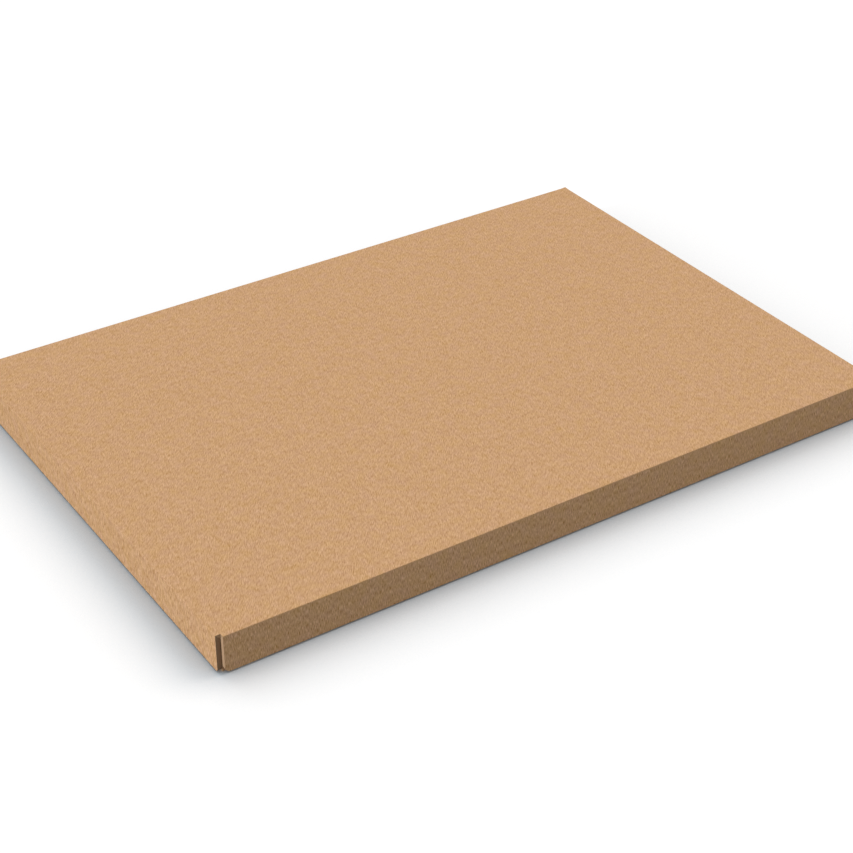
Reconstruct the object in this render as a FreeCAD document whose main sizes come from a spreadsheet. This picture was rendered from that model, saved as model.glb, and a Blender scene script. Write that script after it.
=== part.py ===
import FreeCAD, Part
import Sketcher
import math
import os

# A shallow carton for posting flat goods, cut from one sheet of kraft board and
# folded up without glue. The tray stands on the floor. The lid is hinged on the rear
# wall, and its three flaps hang outside the tray's walls, nearly down to the floor.
# Frame: origin in the middle of the footprint at floor level, X along the length,
# Y towards the hinge, Z up. Millimetres.

SIZES = [
    ("box_length", 345, "over the two side flaps"),
    ("box_width", 240, "from the front flap to the rear wall"),
    ("box_height", 19, "from the floor to the top of the lid"),
    ("board", 2, "thickness of the board"),
    ("fold_radius", 0.3, "outer rounding of every fold"),
    ("lid_clearance", 0.3, "between the tray's walls and the lid over them"),
    ("corner_gap", 0.35, "between a side flap and the board beside it at each corner"),
    ("floor_gap", 1, "under the free edges of the lid's flaps"),
    ("front_flap_corner", 2.6, "radius of the front flap's lower corners"),
    ("side_flap_corner", 1.4, "radius of the side flaps' lower corners"),
    ("layer_gap", 0.2, "between two layers of board that lie on each other"),
    ("tab_length", 42, "of the tabs that fold in at the tray's corners"),
    ("tab_taper", 2.5, "by which a tab narrows towards its end, at each edge"),
    ("tab_corner", 2, "radius of a tab's free corners"),
    ("tongue_width", 34, "of each locking tongue of the rolled front wall"),
    ("tongue_spacing", 180, "from the middle of one tongue to the next"),
    ("tongue_corner", 1.2, "radius of a tongue's lower corners"),
    ("slot_clearance", 0.3, "round a tongue in its slot"),
]

# Places that follow from the sizes. Each is written once, and counts from the middle
# of the box outwards, or from the floor up.
PLACES = [
    ("half_length", "box_length / 2"),
    ("half_width", "box_width / 2"),
    ("lid_under", "box_height - board"),
    ("arc_inset", "fold_radius * (1 - 1 / sqrt(2))"),
    ("axis_height", "box_height - arc_inset"),
    ("arc_height", "box_height - fold_radius"),
    ("side_flap_inner", "half_length - board"),
    ("panel_end", "half_length - board - corner_gap"),
    ("side_flap_front", "half_width - board"),
    ("side_flap_rear", "half_width - board - corner_gap"),
    ("wall_top", "lid_under - lid_clearance"),
    ("tray_side", "half_length - board - lid_clearance"),
    ("tray_front", "half_width - board - lid_clearance"),
    ("front_inner", "tray_front - board"),
    ("tab_front", "front_inner - layer_gap"),
    ("tab_rear", "half_width - board - layer_gap"),
    ("tab_end", "tray_side - tab_length"),
    ("tab_low", "board + layer_gap"),
    ("roll_under", "wall_top - board"),
    ("tab_high", "roll_under - layer_gap"),
    ("roll_outer", "tab_front - board - layer_gap"),
    ("roll_inner", "roll_outer - board"),
    ("roll_end", "tray_side - board - layer_gap"),
    ("tongue_inner", "(tongue_spacing - tongue_width) / 2"),
    ("tongue_outer", "(tongue_spacing + tongue_width) / 2"),
    ("tongue_low", "layer_gap / 2"),
]


def make_sheet(doc):
    """Write the sizes as plain numbers and the places as formulas, under their aliases."""
    sheet = doc.addObject("Spreadsheet::Sheet", "Sizes")
    rows = [(alias, str(value), note) for alias, value, note in SIZES]
    rows += [(alias, "=" + formula, "follows from the rows above") for alias, formula in PLACES]
    for row, (alias, content, note) in enumerate(rows, start=1):
        sheet.set(f"A{row}", alias)
        sheet.set(f"B{row}", content)
        sheet.set(f"C{row}", note)
        sheet.setAlias(f"B{row}", alias)
        doc.recompute()
    return sheet


def from_sheet(formula):
    """Make a formula of plain names read them from the sheet."""
    spaced = formula.replace("(", "( ").replace(")", " )").replace("-", "- ")
    words = spaced.split()
    return " ".join("Sizes." + word if word[0].isalpha() else word for word in words)


def value_of(thing, formula):
    return float(thing.evalExpression(from_sheet(formula)))


def new_body(doc, name):
    """Start a sub-part. Its label also names its file."""
    body = doc.addObject("PartDesign::Body", name)
    body.Label = name
    body.Placement = FreeCAD.Placement()
    return body


def new_sketch(body, name, role, offset="0"):
    """Put a sketch on one of the body's origin planes, moved along the plane's normal."""
    sketch = body.newObject("Sketcher::SketchObject", name)
    plane = next(p for p in body.Origin.OriginFeatures if p.Role == role)
    sketch.AttachmentSupport = (plane, [""])
    sketch.MapMode = "FlatFace"
    sketch.setExpression(".AttachmentOffset.Base.z", from_sheet(offset))
    return sketch


def bind(sketch, constraint, formula):
    index = sketch.addConstraint(constraint)
    sketch.setExpression(f"Constraints[{index}]", from_sheet(formula))


def draw(sketch, corners, arcs=None):
    """Draw a closed outline whose corners are pairs of formulas.

    arcs gives the centre of the fold's rounding for each side that is an arc, by the
    number of the corner where that side starts.
    """
    arcs = arcs or {}
    spots = [FreeCAD.Vector(value_of(sketch, across), value_of(sketch, up), 0) for across, up in corners]
    sides = []
    for number, spot in enumerate(spots):
        following = spots[(number + 1) % len(spots)]
        if number not in arcs:
            index = sketch.addGeometry(Part.LineSegment(spot, following))
            sides.append((index, 1, 2))
            continue
        centre = FreeCAD.Vector(*(value_of(sketch, formula) for formula in arcs[number]), 0)
        start, stop = (math.atan2(*reversed((point - centre)[:2])) for point in (spot, following))
        forward = (stop - start) % (2 * math.pi) < math.pi
        circle = Part.Circle(centre, FreeCAD.Vector(0, 0, 1), (spot - centre).Length)
        ends = (start, stop) if forward else (stop, start)
        index = sketch.addGeometry(Part.ArcOfCircle(circle, *ends))
        sides.append((index, 1, 2) if forward else (index, 2, 1))
        bind(sketch, Sketcher.Constraint("Radius", index, circle.Radius), "fold_radius")
    for number, (index, first, last) in enumerate(sides):
        next_index, next_first, _ = sides[(number + 1) % len(sides)]
        sketch.addConstraint(Sketcher.Constraint("Coincident", index, last, next_index, next_first))
        across, up = corners[number]
        spot = spots[number]
        bind(sketch, Sketcher.Constraint("DistanceX", -1, 1, index, first, spot.x), across)
        bind(sketch, Sketcher.Constraint("DistanceY", -1, 1, index, first, spot.y), up)


def both_sides(corners):
    """Give an outline on the right, and the same one mirrored to the left."""
    mirrored = [(f"0 - ({across})", up) for across, up in corners]
    return corners, mirrored


def add_material(body, sketch, name, length, symmetric=False, backwards=False):
    pad = body.newObject("PartDesign::Pad", name)
    pad.Profile = sketch
    pad.SideType = "Symmetric" if symmetric else "One side"
    pad.Reversed = backwards
    pad.setExpression("Length", from_sheet(length))
    body.Document.recompute()
    return pad


def cut_away(body, sketch, name, length, backwards=False):
    """Cut a pocket, and make sure that it took something away."""
    before = body.Shape.Volume
    pocket = body.newObject("PartDesign::Pocket", name)
    pocket.Profile = sketch
    pocket.SideType = "One side"
    pocket.Reversed = backwards
    pocket.setExpression("Length", from_sheet(length))
    body.Document.recompute()
    if body.Shape.Volume >= before:
        raise RuntimeError(f"{name} cut nothing")
    return pocket


def round_edges(body, name, radius, chosen):
    """Round the straight edges of which chosen says yes, given their middle and direction."""
    base = body.Tip
    names = []
    for number, edge in enumerate(base.Shape.Edges, start=1):
        if len(edge.Vertexes) < 2:
            continue
        along = edge.Vertexes[1].Point - edge.Vertexes[0].Point
        if along.Length < 1e-6:
            continue
        direction = "XYZ"[max(range(3), key=lambda axis: abs(along[axis]))]
        if chosen(edge.CenterOfMass, direction):
            names.append(f"Edge{number}")
    fillet = body.newObject("PartDesign::Fillet", name)
    fillet.Base = (base, names)
    fillet.setExpression("Radius", from_sheet(radius))
    body.Document.recompute()
    return fillet


def near(value, target):
    return abs(abs(value) - target) < 1e-4


def make_tray(doc, sheet):
    """The tray: base, rear wall, side walls with corner tabs, and a rolled front wall."""
    body = new_body(doc, "tray")

    # Seen from the side, the base with its front and rear walls is one bent strip. The
    # rear wall ends at its top in half of the hinge fold, a mitre under a rounding.
    strip = new_sketch(body, "strip_profile", "YZ_Plane")
    draw(strip, [
        ("0 - tray_front", "0"),
        ("half_width", "0"),
        ("half_width", "arc_height"),
        ("half_width - arc_inset", "axis_height"),
        ("half_width - board", "lid_under"),
        ("half_width - board", "board"),
        ("0 - front_inner", "board"),
        ("0 - front_inner", "wall_top"),
        ("0 - tray_front", "wall_top"),
    ], arcs={2: ("half_width - fold_radius", "arc_height")})
    add_material(body, strip, "strip", "2 * tray_side", symmetric=True)

    # The side walls stop one layer short of the front and rear walls, which hide their ends.
    walls = new_sketch(body, "side_wall_profile", "XZ_Plane", "tab_front")
    for outline in both_sides([
        ("tray_side", "0"),
        ("tray_side", "wall_top"),
        ("tray_side - board", "wall_top"),
        ("tray_side - board", "0"),
    ]):
        draw(walls, outline)
    add_material(body, walls, "side_walls", "tab_front + tab_rear", backwards=True)

    # A tapered tab folds in from each end of a side wall, behind the front or rear wall.
    for end, offset, backwards in (("front", "tab_front", True), ("rear", "0 - tab_rear", False)):
        tabs = new_sketch(body, f"{end}_tab_outline", "XZ_Plane", offset)
        for outline in both_sides([
            ("tray_side", "tab_low"),
            ("tray_side", "tab_high"),
            ("tab_end", "tab_high - tab_taper"),
            ("tab_end", "tab_low + tab_taper"),
        ]):
            draw(tabs, outline)
        add_material(body, tabs, f"{end}_tabs", "board", backwards=backwards)

    # The front wall rolls over the front tabs and comes down again behind them.
    roll = new_sketch(body, "roll_profile", "YZ_Plane")
    draw(roll, [
        ("0 - front_inner", "wall_top"),
        ("0 - roll_inner", "wall_top"),
        ("0 - roll_inner", "tab_low"),
        ("0 - roll_outer", "tab_low"),
        ("0 - roll_outer", "roll_under"),
        ("0 - front_inner", "roll_under"),
    ])
    add_material(body, roll, "rolled_wall", "2 * roll_end", symmetric=True)

    # Two tongues of the rolled wall snap into slots in the base and lock the front.
    slots = new_sketch(body, "slot_outline", "XY_Plane", "board")
    for outline in both_sides([
        ("tongue_inner - slot_clearance", "0 - roll_outer - slot_clearance"),
        ("tongue_outer + slot_clearance", "0 - roll_outer - slot_clearance"),
        ("tongue_outer + slot_clearance", "0 - roll_inner + slot_clearance"),
        ("tongue_inner - slot_clearance", "0 - roll_inner + slot_clearance"),
    ]):
        draw(slots, outline)
    cut_away(body, slots, "slots", "board")
    tongues = new_sketch(body, "tongue_outline", "XZ_Plane", "roll_outer")
    for outline in both_sides([
        ("tongue_inner", "tongue_low"),
        ("tongue_inner", "tab_low"),
        ("tongue_outer", "tab_low"),
        ("tongue_outer", "tongue_low"),
    ]):
        draw(tongues, outline)
    add_material(body, tongues, "tongues", "board", backwards=True)

    round_edges(body, "tongue_rounding", "tongue_corner", lambda middle, way: (
        way == "Y" and abs(middle.z - sheet.tongue_low) < sheet.layer_gap / 2 + 1e-4 and middle.z > 1e-4
    ))
    round_edges(body, "tab_rounding", "tab_corner", lambda middle, way: (
        way == "Y" and near(middle.x, sheet.tab_end)
    ))
    round_edges(body, "roll_fold", "fold_radius", lambda middle, way: (
        way == "X" and near(middle.z, sheet.wall_top)
        and (near(middle.y, sheet.tray_front) or near(middle.y, sheet.roll_inner))
    ))
    round_edges(body, "base_folds", "fold_radius", lambda middle, way: (
        near(middle.z, 0) and (
            way == "X" and (near(middle.y, sheet.tray_front) or near(middle.y, sheet.half_width))
            or way == "Y" and near(middle.x, sheet.tray_side)
        )
    ))
    round_edges(body, "tab_folds", "fold_radius", lambda middle, way: (
        way == "Z" and near(middle.x, sheet.tray_side)
        and (near(middle.y, sheet.tab_front) or near(middle.y, sheet.tab_rear))
    ))
    return body


def make_lid(doc, sheet):
    """The lid's panel: half of a fold along each edge, slots in front, whole corners behind."""
    body = new_body(doc, "lid")
    profile = new_sketch(body, "lid_profile", "YZ_Plane")
    draw(profile, [
        ("0 - half_width + fold_radius", "box_height"),
        ("0 - half_width + arc_inset", "axis_height"),
        ("0 - half_width + board", "lid_under"),
        ("half_width - board", "lid_under"),
        ("half_width - arc_inset", "axis_height"),
        ("half_width - fold_radius", "box_height"),
    ], arcs={
        0: ("0 - half_width + fold_radius", "arc_height"),
        4: ("half_width - fold_radius", "arc_height"),
    })
    add_material(body, profile, "panel", "box_length", symmetric=True)

    # The same fold along the two short edges is cut from the ends of the panel.
    ends = new_sketch(body, "end_fold_profile", "XZ_Plane", "board - half_width")
    for sign, outline in zip(("", "0 - "), both_sides([
        ("half_length - fold_radius", "box_height"),
        ("half_length - arc_inset", "axis_height"),
        ("half_length - board", "lid_under"),
        ("half_length - board", "lid_under - board"),
        ("half_length + board", "lid_under - board"),
        ("half_length + board", "box_height + board"),
        ("half_length - fold_radius", "box_height + board"),
    ])):
        draw(ends, outline, arcs={0: (f"{sign}(half_length - fold_radius)", "arc_height")})
    cut_away(body, ends, "end_folds", "box_width - board", backwards=True)

    # At the front corners, where two flaps meet, the board between them is cut out.
    corners = new_sketch(body, "corner_outline", "XY_Plane", "box_height")
    for outline in both_sides([
        ("panel_end", "0 - side_flap_front"),
        ("half_length + board", "0 - side_flap_front"),
        ("half_length + board", "0 - half_width - board"),
        ("panel_end", "0 - half_width - board"),
    ]):
        draw(corners, outline)
    cut_away(body, corners, "corner_slots", "board")

    # The rear corners stand out sideways beyond the ends of the rear wall. No fold reaches
    # them, so they keep the board's full thickness and a sharp outline.
    rear = new_sketch(body, "rear_corner_outline", "XY_Plane", "lid_under")
    for outline in both_sides([
        ("side_flap_inner", "half_width - board"),
        ("half_length", "half_width - board"),
        ("half_length", "half_width"),
        ("side_flap_inner", "half_width"),
    ]):
        draw(rear, outline)
    add_material(body, rear, "rear_corners", "board")
    return body


def make_front_flap(doc, sheet):
    """The lid's front flap, down over the tray's front wall, with rounded lower corners."""
    body = new_body(doc, "front_flap")
    profile = new_sketch(body, "flap_profile", "YZ_Plane")
    draw(profile, [
        ("0 - half_width + arc_inset", "axis_height"),
        ("0 - half_width", "arc_height"),
        ("0 - half_width", "floor_gap"),
        ("0 - half_width + board", "floor_gap"),
        ("0 - half_width + board", "lid_under"),
    ], arcs={0: ("0 - half_width + fold_radius", "arc_height")})
    add_material(body, profile, "flap", "2 * panel_end", symmetric=True)
    round_edges(body, "lower_corners", "front_flap_corner", lambda middle, way: (
        way == "Y" and near(middle.z, sheet.floor_gap)
    ))
    return body


def make_side_flap(doc, sheet, name, sign):
    """One of the lid's side flaps. sign is empty on the right and turns the sketch on the left."""
    body = new_body(doc, name)
    profile = new_sketch(body, "flap_profile", "XZ_Plane", "0 - side_flap_rear")
    draw(profile, [
        (f"{sign}(half_length - arc_inset)", "axis_height"),
        (f"{sign}half_length", "arc_height"),
        (f"{sign}half_length", "floor_gap"),
        (f"{sign}(half_length - board)", "floor_gap"),
        (f"{sign}(half_length - board)", "lid_under"),
    ], arcs={0: (f"{sign}(half_length - fold_radius)", "arc_height")})
    add_material(body, profile, "flap", "side_flap_front + side_flap_rear")
    round_edges(body, "lower_corners", "side_flap_corner", lambda middle, way: (
        way == "X" and near(middle.z, sheet.floor_gap)
    ))
    return body


def check(doc, pieces):
    """Stop if anything failed to build, before a file is written."""
    for thing in doc.Objects:
        if "Invalid" in thing.State or "Error" in thing.State:
            raise RuntimeError(f"{thing.Label} did not build: {thing.State}")
    for piece in pieces:
        if piece.Shape.isNull() or not piece.Shape.isValid() or len(piece.Shape.Solids) != 1:
            raise RuntimeError(f"{piece.Label} is not one sound solid")


def main():
    doc = FreeCAD.newDocument("mailing_box")
    sheet = make_sheet(doc)
    pieces = [
        make_tray(doc, sheet),
        make_lid(doc, sheet),
        make_front_flap(doc, sheet),
        make_side_flap(doc, sheet, "left_flap", "0 - "),
        make_side_flap(doc, sheet, "right_flap", ""),
    ]
    doc.recompute()
    check(doc, pieces)
    os.makedirs("parts", exist_ok=True)
    for piece in pieces:
        piece.Shape.exportStep(f"parts/{piece.Label}.step")
        box = piece.Shape.BoundBox
        print(f"{piece.Label}: {box.XLength:.2f} x {box.YLength:.2f} x {box.ZLength:.2f} mm,"
              f" {piece.Shape.Volume / 1000:.2f} cm3")


main()
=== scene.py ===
# %% [markdown]
# # A flat mailing box in kraft board
#
# The real object is one sheet of brown board, cut, creased and folded into a shallow
# tray with a hinged lid. There is no glue and no print, so everything that the eye
# reads is paper: the grain of the brown liner, the darker raw edge where the knife
# went through, and the open slots at the corners. The lesson goes from the packed
# model to a finished picture in that order.

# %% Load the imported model
import math

import bmesh
import bpy
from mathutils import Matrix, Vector


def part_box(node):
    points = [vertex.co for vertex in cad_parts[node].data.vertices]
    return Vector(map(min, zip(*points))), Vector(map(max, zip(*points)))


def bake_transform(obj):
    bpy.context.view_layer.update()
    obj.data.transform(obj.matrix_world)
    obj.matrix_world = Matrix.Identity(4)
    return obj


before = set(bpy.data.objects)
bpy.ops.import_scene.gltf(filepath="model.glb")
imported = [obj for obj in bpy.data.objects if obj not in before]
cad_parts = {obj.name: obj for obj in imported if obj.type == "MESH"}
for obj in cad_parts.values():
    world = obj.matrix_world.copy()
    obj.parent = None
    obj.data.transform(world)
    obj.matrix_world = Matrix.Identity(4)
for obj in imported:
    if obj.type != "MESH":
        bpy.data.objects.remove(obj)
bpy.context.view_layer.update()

MM = 0.001

# %% [markdown]
# ## Measures
#
# The board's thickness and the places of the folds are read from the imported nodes, so
# the paper follows if the box is ever packed in another size. Only what a node's box
# can't tell, such as a gap between two layers, is written down, in the cell that needs
# it.

# %% Read the measures from the nodes
lid_low, lid_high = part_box("lid")
front_low, front_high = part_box("front_flap")
left_low, left_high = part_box("left_flap")
tray_low, tray_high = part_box("tray")
BOARD = lid_high.z - lid_low.z
HALF_LENGTH = -left_low.x
HALF_WIDTH = -front_low.y
HEIGHT = lid_high.z
print("board", round(BOARD / MM, 2), "mm; box", round(2 * HALF_LENGTH / MM, 1),
      round(2 * HALF_WIDTH / MM, 1), round(HEIGHT / MM, 1))

# %% [markdown]
# ## Camera
#
# The long edges and the short edges of a box meet in two vanishing points. With the
# lens axis in the middle of the picture, those two points fix the lens and the two
# angles, and one known edge fixes the distance. The camera is placed from the lid's
# near corner, so the lid lands on the same spot of the picture as on the real box.

# %% Set up the camera
PICTURE_PIXELS = 853
FOCAL_PIXELS = 1968.5
SENSOR_MM = 36.0
NEAREST_SEEN = 10 * MM
PITCH = math.radians(33.02)
TURN = math.radians(-33.36)
NEAR_CORNER = Vector((-HALF_LENGTH, -HALF_WIDTH, HEIGHT))
CAMERA_FROM_CORNER = Vector((-256.2, -534.7, 478.7)) * MM


def make_camera():
    """A camera that looks down on the box from beyond its near corner."""
    lens = bpy.data.cameras.new("picture_lens")
    lens.sensor_width = SENSOR_MM
    lens.lens = SENSOR_MM * FOCAL_PIXELS / PICTURE_PIXELS
    lens.clip_start = NEAREST_SEEN
    camera = bpy.data.objects.new("picture_camera", lens)
    bpy.context.scene.collection.objects.link(camera)
    camera.location = NEAR_CORNER + CAMERA_FROM_CORNER
    camera.rotation_euler = (math.pi / 2 - PITCH, 0, TURN)
    bpy.context.scene.camera = camera
    bpy.context.view_layer.update()
    return camera


def picture_place(camera, point):
    """Where a point of the frame lands in the picture, in pixels from the top left."""
    seen = camera.matrix_world.inverted() @ Vector(point)
    middle = PICTURE_PIXELS / 2
    across = middle + FOCAL_PIXELS * seen.x / -seen.z
    down = middle - FOCAL_PIXELS * seen.y / -seen.z
    return round(across, 1), round(down, 1)


camera = make_camera()
for right, back in ((-1, -1), (1, -1), (1, 1), (-1, 1)):
    spot = Vector((right * HALF_LENGTH, back * HALF_WIDTH, HEIGHT))
    print("lid corner", (right, back), "at", picture_place(camera, spot))

# %% [markdown]
# ## Small helpers for building materials
#
# A node tree reads better when each node is one line. `add` makes a node and plugs
# its inputs, which may be numbers, colours or the output of another node. The rest
# are the few steps that every material here repeats.

# %% Helpers for node trees
NOISE_MEAN = 0.5


def add(tree, kind, inputs=None, **settings):
    """Add a node, set its settings, then fill its inputs by name or number."""
    node = tree.nodes.new(kind)
    for name, value in settings.items():
        setattr(node, name, value)
    for key, value in (inputs or {}).items():
        socket = node.inputs[key]
        if isinstance(value, bpy.types.NodeSocket):
            tree.links.new(value, socket)
        else:
            socket.default_value = value
    return node


def maths(tree, operation, *values):
    """One step of arithmetic, on numbers or on outputs of other nodes."""
    node = add(tree, "ShaderNodeMath", dict(enumerate(values)), operation=operation)
    return node.outputs[0]


def vector_maths(tree, operation, inputs):
    """One step of arithmetic on vectors. It gives the node, which may have two outputs."""
    return add(tree, "ShaderNodeVectorMath", inputs, operation=operation)


def swing_of(tree, noise, amount):
    """A noise, turned into a swing to both sides of nothing, times amount."""
    return maths(tree, "MULTIPLY", maths(tree, "SUBTRACT", noise, NOISE_MEAN), amount)


def tinted(tree, colour, tint, share):
    """The colour, turned into the tint by share."""
    # A Mix node holds a set of sockets for each kind of data. Numbers 6 and 7 are colours.
    node = add(tree, "ShaderNodeMix", {0: share, 6: colour, 7: tint}, data_type="RGBA")
    return node.outputs[2]


def new_group(name, inputs, outputs):
    """An empty shader node group with named inputs and outputs."""
    group = bpy.data.node_groups.new(name, "ShaderNodeTree")
    for label, kind, default in inputs:
        socket = group.interface.new_socket(label, in_out="INPUT", socket_type=kind)
        socket.default_value = default
    for label, kind in outputs:
        group.interface.new_socket(label, in_out="OUTPUT", socket_type=kind)
    entry = group.nodes.new("NodeGroupInput")
    leave = group.nodes.new("NodeGroupOutput")
    return group, entry, leave


def srgb(red, green, blue):
    """A colour as a paint chart gives it, 0 to 255, in the linear values a shader wants."""
    def linear(part):
        # The numbers are those of the sRGB standard.
        part /= 255
        return part / 12.92 if part <= 0.04045 else ((part + 0.055) / 1.055) ** 2.4
    return linear(red), linear(green), linear(blue), 1.0


print("a paint chart's middle grey, 128, is", round(srgb(128, 128, 128)[0], 3), "to a shader")

# %% [markdown]
# ## Kraft paper, seen close
#
# Kraft liner is unbleached pulp. Its fibres are about two millimetres long, they lie
# mostly along the way the paper ran through the mill, and some are darker than the
# rest. From a step away that gives a fine speckle, with a faint drift behind it between
# a yellower and a greyer brown. A picture of paper would do the job too, but it would
# tile and blur. Stretched noise in the object's own space costs nothing, never repeats
# and follows every panel.
#
# To stretch noise along any way, its place is divided by the fibre's width, and then
# the part that lies along the fibre is shortened once more, to the fibre's length. A
# dark fibre takes more blue away than red, so each colour has a swing of its own.

# %% Group for the fibres of kraft paper
LINER = srgb(198, 155, 113)
FIBRE_LENGTH = 2.3 * MM
FIBRE_WIDTH = 0.24 * MM
CLOUD_SIZE = 7.0 * MM
TINT_SIZE = 4.5 * MM
RED_SWING = 0.58
GREEN_SWING = 0.76
BLUE_SWING = 1.06


def make_paper_group():
    """The liner's colour with its fibres and drift, and the fibres' height for a bump."""
    group, entry, leave = new_group("kraft_paper", [
        ("Liner", "NodeSocketColor", LINER),
        ("Speckle", "NodeSocketFloat", 1.0),
        ("Clouds", "NodeSocketFloat", 1.0),
        ("Tint", "NodeSocketFloat", 1.0),
        ("Fibre Way", "NodeSocketVector", (0.0, 1.0, 0.0)),
    ], [("Color", "NodeSocketColor"), ("Height", "NodeSocketFloat")])
    place = add(group, "ShaderNodeTexCoord").outputs["Object"]
    way = entry.outputs["Fibre Way"]
    along = vector_maths(group, "DOT_PRODUCT", {0: place, 1: way}).outputs["Value"]
    shortened = vector_maths(group, "SCALE", {
        0: way, "Scale": maths(group, "MULTIPLY", along, 1 / FIBRE_LENGTH - 1 / FIBRE_WIDTH),
    })
    fibres = vector_maths(group, "MULTIPLY_ADD", {
        0: place, 1: (1 / FIBRE_WIDTH,) * 3, 2: shortened.outputs[0],
    })
    speckle = add(group, "ShaderNodeTexNoise", {
        "Vector": fibres.outputs[0], "Scale": 1.0, "Detail": 2.0, "Roughness": 0.6,
    }).outputs["Fac"]
    clouds = add(group, "ShaderNodeTexNoise", {
        "Vector": place, "Scale": 1 / CLOUD_SIZE, "Detail": 3.0, "Roughness": 0.55,
    }).outputs["Fac"]
    tint = add(group, "ShaderNodeTexNoise", {
        "Vector": place, "Scale": 1 / TINT_SIZE, "Detail": 1.0, "Roughness": 0.5,
    }).outputs["Fac"]
    swing = maths(group, "ADD", swing_of(group, speckle, entry.outputs["Speckle"]),
                  swing_of(group, clouds, entry.outputs["Clouds"]))
    tint_swing = swing_of(group, tint, entry.outputs["Tint"])
    shade = add(group, "ShaderNodeCombineXYZ", {
        "X": maths(group, "MULTIPLY_ADD", swing, RED_SWING, 1.0),
        "Y": maths(group, "MULTIPLY_ADD", swing, GREEN_SWING, 1.0),
        "Z": maths(group, "MULTIPLY_ADD", swing, BLUE_SWING, maths(group, "ADD", tint_swing, 1.0)),
    })
    colour = vector_maths(group, "MULTIPLY", {0: entry.outputs["Liner"], 1: shade.outputs[0]})
    group.links.new(colour.outputs[0], leave.inputs["Color"])
    group.links.new(speckle, leave.inputs["Height"])
    return group


paper_group = make_paper_group()
print("group", paper_group.name, "with", len(paper_group.nodes), "nodes")

# %% [markdown]
# ## The raw edge
#
# Where the knife cut the board, the smooth liner ends and the cut pulp shows: darker,
# rougher and streaked along the sheet. A flat panel's cut edges are the faces that do
# not look along the panel's thickness. A node group can tell that from the surface's
# own direction, so no face has to be picked by hand.

# %% Group that finds the cut edges of a flat panel
LINER_ABOVE = 0.6
PULP_BELOW = 0.4


def make_panel_edge_group():
    """1 where the surface looks away from the panel's thickness, and 0 on its two faces."""
    group, entry, leave = new_group("panel_cut_edges", [
        ("Thickness Way", "NodeSocketVector", (0.0, 0.0, 1.0)),
    ], [("Edge", "NodeSocketFloat")])
    looks = add(group, "ShaderNodeTexCoord").outputs["Normal"]
    facing = vector_maths(group, "DOT_PRODUCT", {0: looks, 1: entry.outputs["Thickness Way"]})
    edge = add(group, "ShaderNodeMapRange", {
        "Value": maths(group, "ABSOLUTE", facing.outputs["Value"]),
        "From Min": LINER_ABOVE, "From Max": PULP_BELOW,
    })
    group.links.new(edge.outputs[0], leave.inputs["Edge"])
    return group


panel_edge_group = make_panel_edge_group()
print("group", panel_edge_group.name, "with", len(panel_edge_group.nodes), "nodes")

# %% [markdown]
# The tray is bent, so the way through its thickness changes from wall to wall. Here
# the cut edges are told by place. They are the ends of the walls and the tops of the
# side walls and tabs, but not the top of the rolled front wall, which is a fold.

# %% Group that finds the cut edges of the tray
LID_CLEARANCE = 0.3 * MM
LAYER_GAP = 0.2 * MM
FOLD_RADIUS = 0.3 * MM
TAB_LENGTH = 42 * MM
TAB_CORNER = 2 * MM
TOUCH = 0.1 * MM
SQUARE_ON = 0.7
WALL_TOP = HEIGHT - BOARD - LID_CLEARANCE
TRAY_SIDE = tray_high.x
ROLL_END = TRAY_SIDE - BOARD - LAYER_GAP
ROLL_INNER = -tray_low.y - 3 * BOARD - 2 * LAYER_GAP
TAB_END = TRAY_SIDE - TAB_LENGTH
SIDE_WALL_END = -tray_low.y - BOARD - FOLD_RADIUS


def make_tray_edge_group():
    """1 on the tops and ends of the tray's walls and tabs, where the knife went through."""
    group, _, leave = new_group("tray_cut_edges", [], [("Edge", "NodeSocketFloat")])
    coordinates = add(group, "ShaderNodeTexCoord")
    place = add(group, "ShaderNodeSeparateXYZ", {0: coordinates.outputs["Object"]}).outputs
    way = add(group, "ShaderNodeSeparateXYZ", {0: coordinates.outputs["Normal"]}).outputs
    sideways = maths(group, "ABSOLUTE", place["X"])
    looks_up_or_down = maths(group, "GREATER_THAN",
                             maths(group, "ABSOLUTE", way["Z"]), SQUARE_ON)
    looks_sideways = maths(group, "GREATER_THAN",
                           maths(group, "ABSOLUTE", way["X"]), SQUARE_ON)

    over_base = maths(group, "GREATER_THAN", place["Z"], BOARD + TOUCH)
    behind_roll = maths(group, "GREATER_THAN", place["Y"], TOUCH - ROLL_INNER)
    beside_roll = maths(group, "GREATER_THAN", sideways, ROLL_END + TOUCH)
    off_roll = maths(group, "MAXIMUM", behind_roll, beside_roll)
    under_top = maths(group, "LESS_THAN", place["Z"], WALL_TOP + TOUCH)
    tops = maths(group, "MULTIPLY", maths(group, "MULTIPLY", looks_up_or_down, over_base),
                 maths(group, "MULTIPLY", off_roll, under_top))

    tab_ends = maths(group, "COMPARE", sideways, TAB_END, TAB_CORNER)
    in_roll = maths(group, "LESS_THAN", place["Y"], -ROLL_INNER)
    roll_ends = maths(group, "MULTIPLY",
                      maths(group, "COMPARE", sideways, ROLL_END, TOUCH), in_roll)
    in_side_wall = maths(group, "COMPARE", place["Y"], 0.0, SIDE_WALL_END)
    wall_ends = maths(group, "MULTIPLY", maths(group, "COMPARE", sideways, TRAY_SIDE, TOUCH),
                      maths(group, "SUBTRACT", 1.0, in_side_wall))
    any_end = maths(group, "MAXIMUM", tab_ends, maths(group, "MAXIMUM", roll_ends, wall_ends))
    ends = maths(group, "MULTIPLY", looks_sideways, any_end)
    group.links.new(maths(group, "MAXIMUM", tops, ends), leave.inputs["Edge"])
    return group


tray_edge_group = make_tray_edge_group()
print("group", tray_edge_group.name, "with", len(tray_edge_group.nodes), "nodes")

# %% [markdown]
# What shows in a cut edge is pulp in thin layers. So the noise there changes fast
# through the board and slowly along it, which draws streaks.

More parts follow.
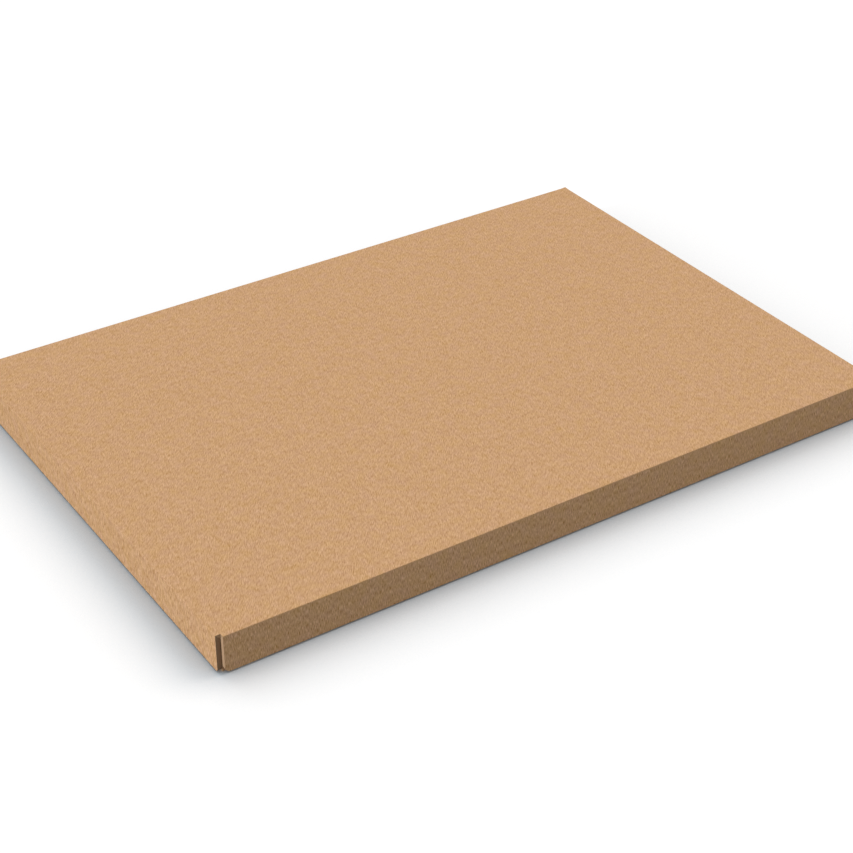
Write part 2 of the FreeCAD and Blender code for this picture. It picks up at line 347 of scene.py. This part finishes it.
# %% Group for the streaks of cut pulp
PULP = srgb(170, 138, 106)
PULP_CONTRAST = 0.5
PULP_LAYER = 0.25 * MM
PULP_DRIFT = 6 * MM


def make_pulp_group():
    """The pulp's colour, in streaks that lie along the sheet."""
    group, entry, leave = new_group("cut_pulp", [
        ("Thickness Way", "NodeSocketVector", (0.0, 0.0, 1.0)),
        ("Pulp", "NodeSocketColor", PULP),
        ("Contrast", "NodeSocketFloat", PULP_CONTRAST),
    ], [("Color", "NodeSocketColor")])
    place = add(group, "ShaderNodeTexCoord").outputs["Object"]
    through = vector_maths(group, "DOT_PRODUCT", {0: place, 1: entry.outputs["Thickness Way"]})
    layer = add(group, "ShaderNodeCombineXYZ", {
        "X": maths(group, "MULTIPLY", through.outputs["Value"], 1 / PULP_LAYER),
    })
    drift = vector_maths(group, "MULTIPLY", {0: place, 1: (1 / PULP_DRIFT,) * 3})
    spot = vector_maths(group, "ADD", {0: layer.outputs[0], 1: drift.outputs[0]})
    streaks = add(group, "ShaderNodeTexNoise", {
        "Vector": spot.outputs[0], "Scale": 1.0, "Detail": 3.0,
    })
    swing = swing_of(group, streaks.outputs["Fac"], entry.outputs["Contrast"])
    shade = vector_maths(group, "SCALE", {
        0: entry.outputs["Pulp"], "Scale": maths(group, "ADD", swing, 1.0),
    })
    group.links.new(shade.outputs[0], leave.inputs["Color"])
    return group


pulp_group = make_pulp_group()
print("group", pulp_group.name, "with", len(pulp_group.nodes), "nodes")

# %% [markdown]
# ## The board's materials
#
# Each panel wears the same liner. What differs is the way through its thickness, so
# that the raw edge lands where the knife went, and the way its fibres lie. The sides
# of the real box show their grain more than the lid does, so their speckle is
# stronger. The side flaps' cut ends are painted darker than the front flap's: partly
# the pulp's own tone, partly painted shade for the corner slots where they sit. The
# shader itself stays plain: matt paper, and a very slight bump of the fibres.

# %% Make one material for each way a panel lies
LIGHT_PULP = srgb(185, 152, 120)
# Partly the pulp's own darker tone, partly painted shade that stands in for the shade in the corner
# slots.
PULP_AND_SLOT_SHADE = srgb(139, 110, 83)
FLAT_FIBRE_ANGLE = math.radians(33)
FLAT_FIBRE_WAY = (math.sin(FLAT_FIBRE_ANGLE), math.cos(FLAT_FIBRE_ANGLE), 0)
UPRIGHT = (0, 0, 1)
SPECKLE = 2.4
UPRIGHT_SPECKLE = 3.9
CLOUDS = 0.08
TINT = 0.36
LINER_ROUGHNESS = 0.78
PULP_ROUGHNESS = 0.95
GLOSS = 0.1
FIBRE_BUMP = 0.1
BUMP_DEPTH = 0.1 * MM


def make_board_material(name, thickness_way, fibre_way, pulp_colour, edges):
    """Kraft board whose cut edges are found by the group that edges names."""
    material = bpy.data.materials.new(name)
    material.use_nodes = True
    tree = material.node_tree
    shader = tree.nodes["Principled BSDF"]
    paper = add(tree, "ShaderNodeGroup", node_tree=paper_group)
    paper.inputs["Liner"].default_value = LINER
    paper.inputs["Speckle"].default_value = UPRIGHT_SPECKLE if fibre_way == UPRIGHT else SPECKLE
    paper.inputs["Clouds"].default_value = CLOUDS
    paper.inputs["Tint"].default_value = TINT
    paper.inputs["Fibre Way"].default_value = fibre_way
    pulp = add(tree, "ShaderNodeGroup", node_tree=pulp_group)
    pulp.inputs["Thickness Way"].default_value = thickness_way
    pulp.inputs["Pulp"].default_value = pulp_colour
    edge = add(tree, "ShaderNodeGroup", node_tree=edges)
    if "Thickness Way" in edge.inputs:
        edge.inputs["Thickness Way"].default_value = thickness_way
    colour = tinted(tree, paper.outputs["Color"], pulp.outputs["Color"], edge.outputs["Edge"])
    tree.links.new(colour, shader.inputs["Base Color"])
    roughness = add(tree, "ShaderNodeMapRange", {
        "Value": edge.outputs["Edge"], "To Min": LINER_ROUGHNESS, "To Max": PULP_ROUGHNESS,
    })
    tree.links.new(roughness.outputs[0], shader.inputs["Roughness"])
    bump = add(tree, "ShaderNodeBump", {
        "Height": paper.outputs["Height"], "Strength": FIBRE_BUMP, "Distance": BUMP_DEPTH,
    })
    tree.links.new(bump.outputs[0], shader.inputs["Normal"])
    shader.inputs["Specular IOR Level"].default_value = GLOSS
    return material


flat_finish = make_board_material(
    "kraft_flat_panel", UPRIGHT, FLAT_FIBRE_WAY, PULP, panel_edge_group)
long_finish = make_board_material(
    "kraft_long_side", (0, 1, 0), UPRIGHT, LIGHT_PULP, panel_edge_group)
# The side flaps' cut ends get the darker pulp: their own tone plus painted shade of the corner
# slots.
short_finish = make_board_material(
    "kraft_short_side", (1, 0, 0), UPRIGHT, PULP_AND_SLOT_SHADE, panel_edge_group)
tray_finish = make_board_material(
    "kraft_tray", UPRIGHT, FLAT_FIBRE_WAY, PULP, tray_edge_group)
PANEL_FINISH = {
    "lid": flat_finish,
    "front_flap": long_finish,
    "left_flap": short_finish,
    "right_flap": short_finish,
    "tray": tray_finish,
}
for node, finish in PANEL_FINISH.items():
    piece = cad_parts[node]
    piece.data.materials.clear()
    piece.data.materials.append(finish)
    print(node, "wears", finish.name)

# %% [markdown]
# ## Beads in the creases
#
# The imported panels turn about the outer edge of each fold, and their mitred faces part
# like a book as they turn. On the real box the board bends there and no gap opens. So
# a thin bead of board lies hidden in each fold, and its columns stand across the mitre.
# Its depth is worked out for columns that each turn by their share of the angle, from
# none at one panel to all of it at the other. Opened out flat, such a bead would fan out
# and fill the crease down to the board's inner side. Here the bead is built at rest only.

# %% Work out the bead's cross-section
BEAD_REACH = 0.6 * MM
BEAD_COLUMNS = 12
SKIN_INSET = 0.05 * MM
DEPTH_STEP = 0.01 * MM
AXIS_INSET = FOLD_RADIUS * (1 - math.sqrt(0.5))
FULL_DEPTH = BOARD - AXIS_INSET
FLAP_TURN = math.pi / 2
LID_TURN = math.pi


def outer_skin(across):
    """How deep under the hinge line the outer skin lies, at a distance from the mitre."""
    if abs(across) < FOLD_RADIUS * math.sqrt(0.5):
        return FOLD_RADIUS - math.sqrt(FOLD_RADIUS ** 2 - across ** 2)
    return abs(across) - FOLD_RADIUS * (math.sqrt(2) - 1)


def bead_depth(across, turn):
    """The depth at which a column ends on the inner side, once the panels turned apart."""
    share = across / (2 * BEAD_REACH) + 0.5
    share = share * share * (3 - 2 * share)
    deepest = FULL_DEPTH * math.sqrt(2) + abs(across) - 2 * SKIN_INSET
    depth = outer_skin(across) + SKIN_INSET
    while depth < deepest:
        angle = turn * (share - 0.5) + math.atan2(across, depth)
        if math.hypot(across, depth) * math.cos(angle) > FULL_DEPTH - SKIN_INSET:
            return depth
        depth += DEPTH_STEP
    return deepest


steps = [BEAD_REACH * (2 * column / BEAD_COLUMNS - 1) for column in range(BEAD_COLUMNS + 1)]
depths = [round(bead_depth(step, FLAP_TURN) / MM, 2) for step in steps]
print("bead depth in mm across a flap's fold", depths)

# %% [markdown]
# A bead is a straight strip with that cross-section, so it is built from two rings of
# points, with a side for each pair of neighbours and a row of small faces to close
# each end.

# %% Lay a bead in each fold
AXIS_HEIGHT = HEIGHT - AXIS_INSET
X_WAY = Vector((1, 0, 0))
Y_WAY = Vector((0, 1, 0))
PANEL_HALF_LENGTH = front_high.x - TOUCH
SIDE_FOLD_MIDDLE = (left_low.y + left_high.y) / 2
SIDE_FOLD_HALF_LENGTH = (left_high.y - left_low.y) / 2 - TOUCH


def make_bead(name, bodies, outward, length_way, middle, half_length, turn):
    """A bead along length_way, in the fold of a lid edge that looks outward."""
    inward = (Vector((0, 0, -1)) - outward).normalized()
    across_way = (outward - Vector((0, 0, 1))).normalized()
    outer_side = [(step, outer_skin(step) + SKIN_INSET) for step in steps]
    inner_side = [(step, bead_depth(step, turn)) for step in steps]
    outline = outer_side + inner_side[::-1]
    mesh = bmesh.new()
    rings = []
    for end in (-1, 1):
        foot = middle + length_way * (half_length * end)
        places = [foot + across_way * step + inward * depth for step, depth in outline]
        rings.append([mesh.verts.new(place) for place in places])
    near, far = rings
    for number in range(len(outline)):
        following = (number + 1) % len(outline)
        mesh.faces.new((near[number], near[following], far[following], far[number]))
    for ring in rings:
        for number in range(BEAD_COLUMNS):
            last = len(outline) - 1 - number
            mesh.faces.new((ring[number], ring[number + 1], ring[last - 1], ring[last]))
    bmesh.ops.recalc_face_normals(mesh, faces=mesh.faces)
    data = bpy.data.meshes.new(name)
    mesh.to_mesh(data)
    mesh.free()
    bead = bpy.data.objects.new(name, data)
    bpy.context.scene.collection.objects.link(bead)
    data.materials.append(flat_finish)
    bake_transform(bead)
    print(name, "joins", bodies[0], "and", bodies[1], "with", len(data.vertices), "vertices")


make_bead("rear_crease", ("lid", "tray"), Y_WAY, X_WAY,
          Vector((0, HALF_WIDTH - AXIS_INSET, AXIS_HEIGHT)),
          TRAY_SIDE - TOUCH, LID_TURN)
make_bead("front_crease", ("lid", "front_flap"), -Y_WAY, X_WAY,
          Vector((0, AXIS_INSET - HALF_WIDTH, AXIS_HEIGHT)),
          PANEL_HALF_LENGTH, FLAP_TURN)
make_bead("left_crease", ("lid", "left_flap"), -X_WAY, Y_WAY,
          Vector((AXIS_INSET - HALF_LENGTH, SIDE_FOLD_MIDDLE, AXIS_HEIGHT)),
          SIDE_FOLD_HALF_LENGTH, FLAP_TURN)
make_bead("right_crease", ("lid", "right_flap"), X_WAY, Y_WAY,
          Vector((HALF_LENGTH - AXIS_INSET, SIDE_FOLD_MIDDLE, AXIS_HEIGHT)),
          SIDE_FOLD_HALF_LENGTH, FLAP_TURN)

# %% [markdown]
# ## Floor
#
# The box stands on a plain white floor. For the light that bounces off it, the floor
# is much greyer than its paint, so the box is not flooded from below.
#
# Lamps and sky alone would leave a warm shade round the box, because the lit board
# glows on the floor, and they would leave it thin. So the paint helps. An Ambient
# Occlusion node says how much of the space over a point is taken by something near,
# and the paint darkens by it, in red more than in blue, which takes the glow away.
# Where most of that space is taken, as under a raised lid, no glow arrives, and the
# paint turns to a plain grey. A second node with a very short reach draws the dark
# line where the board meets the floor.

# %% Make the floor
FLOOR_HALF_SIDE = 6.0
FLOOR_BOUNCE = (0.19, 0.20, 0.205, 1)
FLOOR_LIFT = 0.035
FLOOR_PAINT = (1.0, 0.98, 0.96, 1)
SOFT_SHADE = (0.25, 0.41, 0.53, 1)
SOFT_REACH = 80 * MM
DEEP_SHADE = (0.24, 0.24, 0.24, 1)
DEEP_FROM = 0.5
CONTACT_SHADE = (0.65, 0.50, 0.36, 1)
CONTACT_REACH = 1.2 * MM
CLOSENESS_RAYS = 4
WHITE = (1, 1, 1, 1)


def seen_directly(tree):
    """1 for what the camera sees straight on, or in a gloss, or through glass."""
    path = add(tree, "ShaderNodeLightPath")
    seen = maths(tree, "ADD", path.outputs["Is Camera Ray"], path.outputs["Is Glossy Ray"])
    seen = maths(tree, "ADD", seen, path.outputs["Is Transmission Ray"])
    return maths(tree, "MINIMUM", seen, 1.0)


def closeness(tree, reach):
    """How much of the space over a point is taken by something nearer than reach."""
    node = add(tree, "ShaderNodeAmbientOcclusion", {"Distance": reach}, samples=CLOSENESS_RAYS)
    return maths(tree, "SUBTRACT", 1.0, node.outputs["AO"])


def floor_paint(tree):
    """White, with a soft shade round the box and a dark line under its edges."""
    close = closeness(tree, SOFT_REACH)
    covered = add(tree, "ShaderNodeMapRange", {
        "Value": close, "From Min": DEEP_FROM, "From Max": 1.0,
    })
    paint = tinted(tree, FLOOR_PAINT, SOFT_SHADE, close)
    paint = tinted(tree, paint, DEEP_SHADE, covered.outputs[0])
    return tinted(tree, paint, CONTACT_SHADE, closeness(tree, CONTACT_REACH))


def make_floor():
    """A large square at the foot of the box, white to the camera and grey to the light."""
    mesh = bpy.data.meshes.new("floor")
    side = FLOOR_HALF_SIDE
    corners = [(-side, -side, 0), (side, -side, 0), (side, side, 0), (-side, side, 0)]
    mesh.from_pydata(corners, [], [(0, 1, 2, 3)])
    floor = bpy.data.objects.new("floor", mesh)
    bpy.context.scene.collection.objects.link(floor)
    material = bpy.data.materials.new("white_floor")
    material.use_nodes = True
    tree = material.node_tree
    tree.nodes.clear()
    seen = seen_directly(tree)
    paint = add(tree, "ShaderNodeBsdfDiffuse", {"Color": floor_paint(tree)})
    bounce = add(tree, "ShaderNodeBsdfDiffuse", {"Color": FLOOR_BOUNCE})
    lift = add(tree, "ShaderNodeEmission", {"Color": WHITE, "Strength": FLOOR_LIFT})
    bright = add(tree, "ShaderNodeAddShader", {0: paint.outputs[0], 1: lift.outputs[0]})
    mixed = add(tree, "ShaderNodeMixShader", {0: seen, 1: bounce.outputs[0], 2: bright.outputs[0]})
    add(tree, "ShaderNodeOutputMaterial", {"Surface": mixed.outputs[0]})
    mesh.materials.append(material)


make_floor()
print("floor of", 2 * FLOOR_HALF_SIDE, "m, shaded up to", round(SOFT_REACH / MM), "mm from the box")

# %% [markdown]
# ## Light
#
# Most of the light is an even sky, and two broad lamps high up add to it. A shade
# lacks the colour of the lamp that it is hidden from. So the lamp at the right is warm,
# which cools the shade on the left, where the board's glow is strongest, and the lamp
# at the rear is cool, which warms the shade in front. A third, low lamp grazes in from
# the left. It lights the left side nearly as much as the lid, and hardly touches the
# floor. To the camera the sky is plain white.

# %% Make the lamps and the sky
SKY_STRENGTH = 0.66
SKY_COLOUR = (0.962, 1.03, 1.10, 1)
LAMPS = {
    "right_lamp": {
        "way": (0.67, 0.0, 0.75),
        "strength": 0.943,
        "softness": 45,
        "colour": (1.20, 1.0, 0.844),
    },
    "rear_lamp": {
        "way": (0.0, 0.67, 0.75),
        "strength": 0.456,
        "softness": 45,
        "colour": (0.835, 1.0, 1.073),
    },
    "low_lamp": {
        "way": (-1.0, 0.04, 0.07),
        "strength": 1.82,
        "softness": 6,
        "colour": (1.0, 1.0, 1.0),
    },
}


def make_lamp(name, way, strength, softness, colour):
    """A far lamp that stands the way's side of the box, softness degrees across."""
    lamp = bpy.data.lights.new(name, "SUN")
    lamp.energy = strength
    lamp.angle = math.radians(softness)
    lamp.color = colour
    holder = bpy.data.objects.new(name, lamp)
    bpy.context.scene.collection.objects.link(holder)
    holder.rotation_euler = Vector(way).to_track_quat("Z", "Y").to_euler()


def make_sky():
    """An even sky that lights the box, and that the camera sees as white."""
    world = bpy.data.worlds.new("studio")
    bpy.context.scene.world = world
    world.use_nodes = True
    tree = world.node_tree
    tree.nodes.clear()
    seen = seen_directly(tree)
    light = add(tree, "ShaderNodeBackground", {"Color": SKY_COLOUR, "Strength": SKY_STRENGTH})
    white = add(tree, "ShaderNodeBackground", {"Color": WHITE, "Strength": 1.0})
    mixed = add(tree, "ShaderNodeMixShader", {0: seen, 1: light.outputs[0], 2: white.outputs[0]})
    add(tree, "ShaderNodeOutputWorld", {"Surface": mixed.outputs[0]})


for name, settings in LAMPS.items():
    make_lamp(name, **settings)
    print(name, "of strength", settings["strength"])
make_sky()
bpy.context.scene.view_settings.view_transform = "Standard"
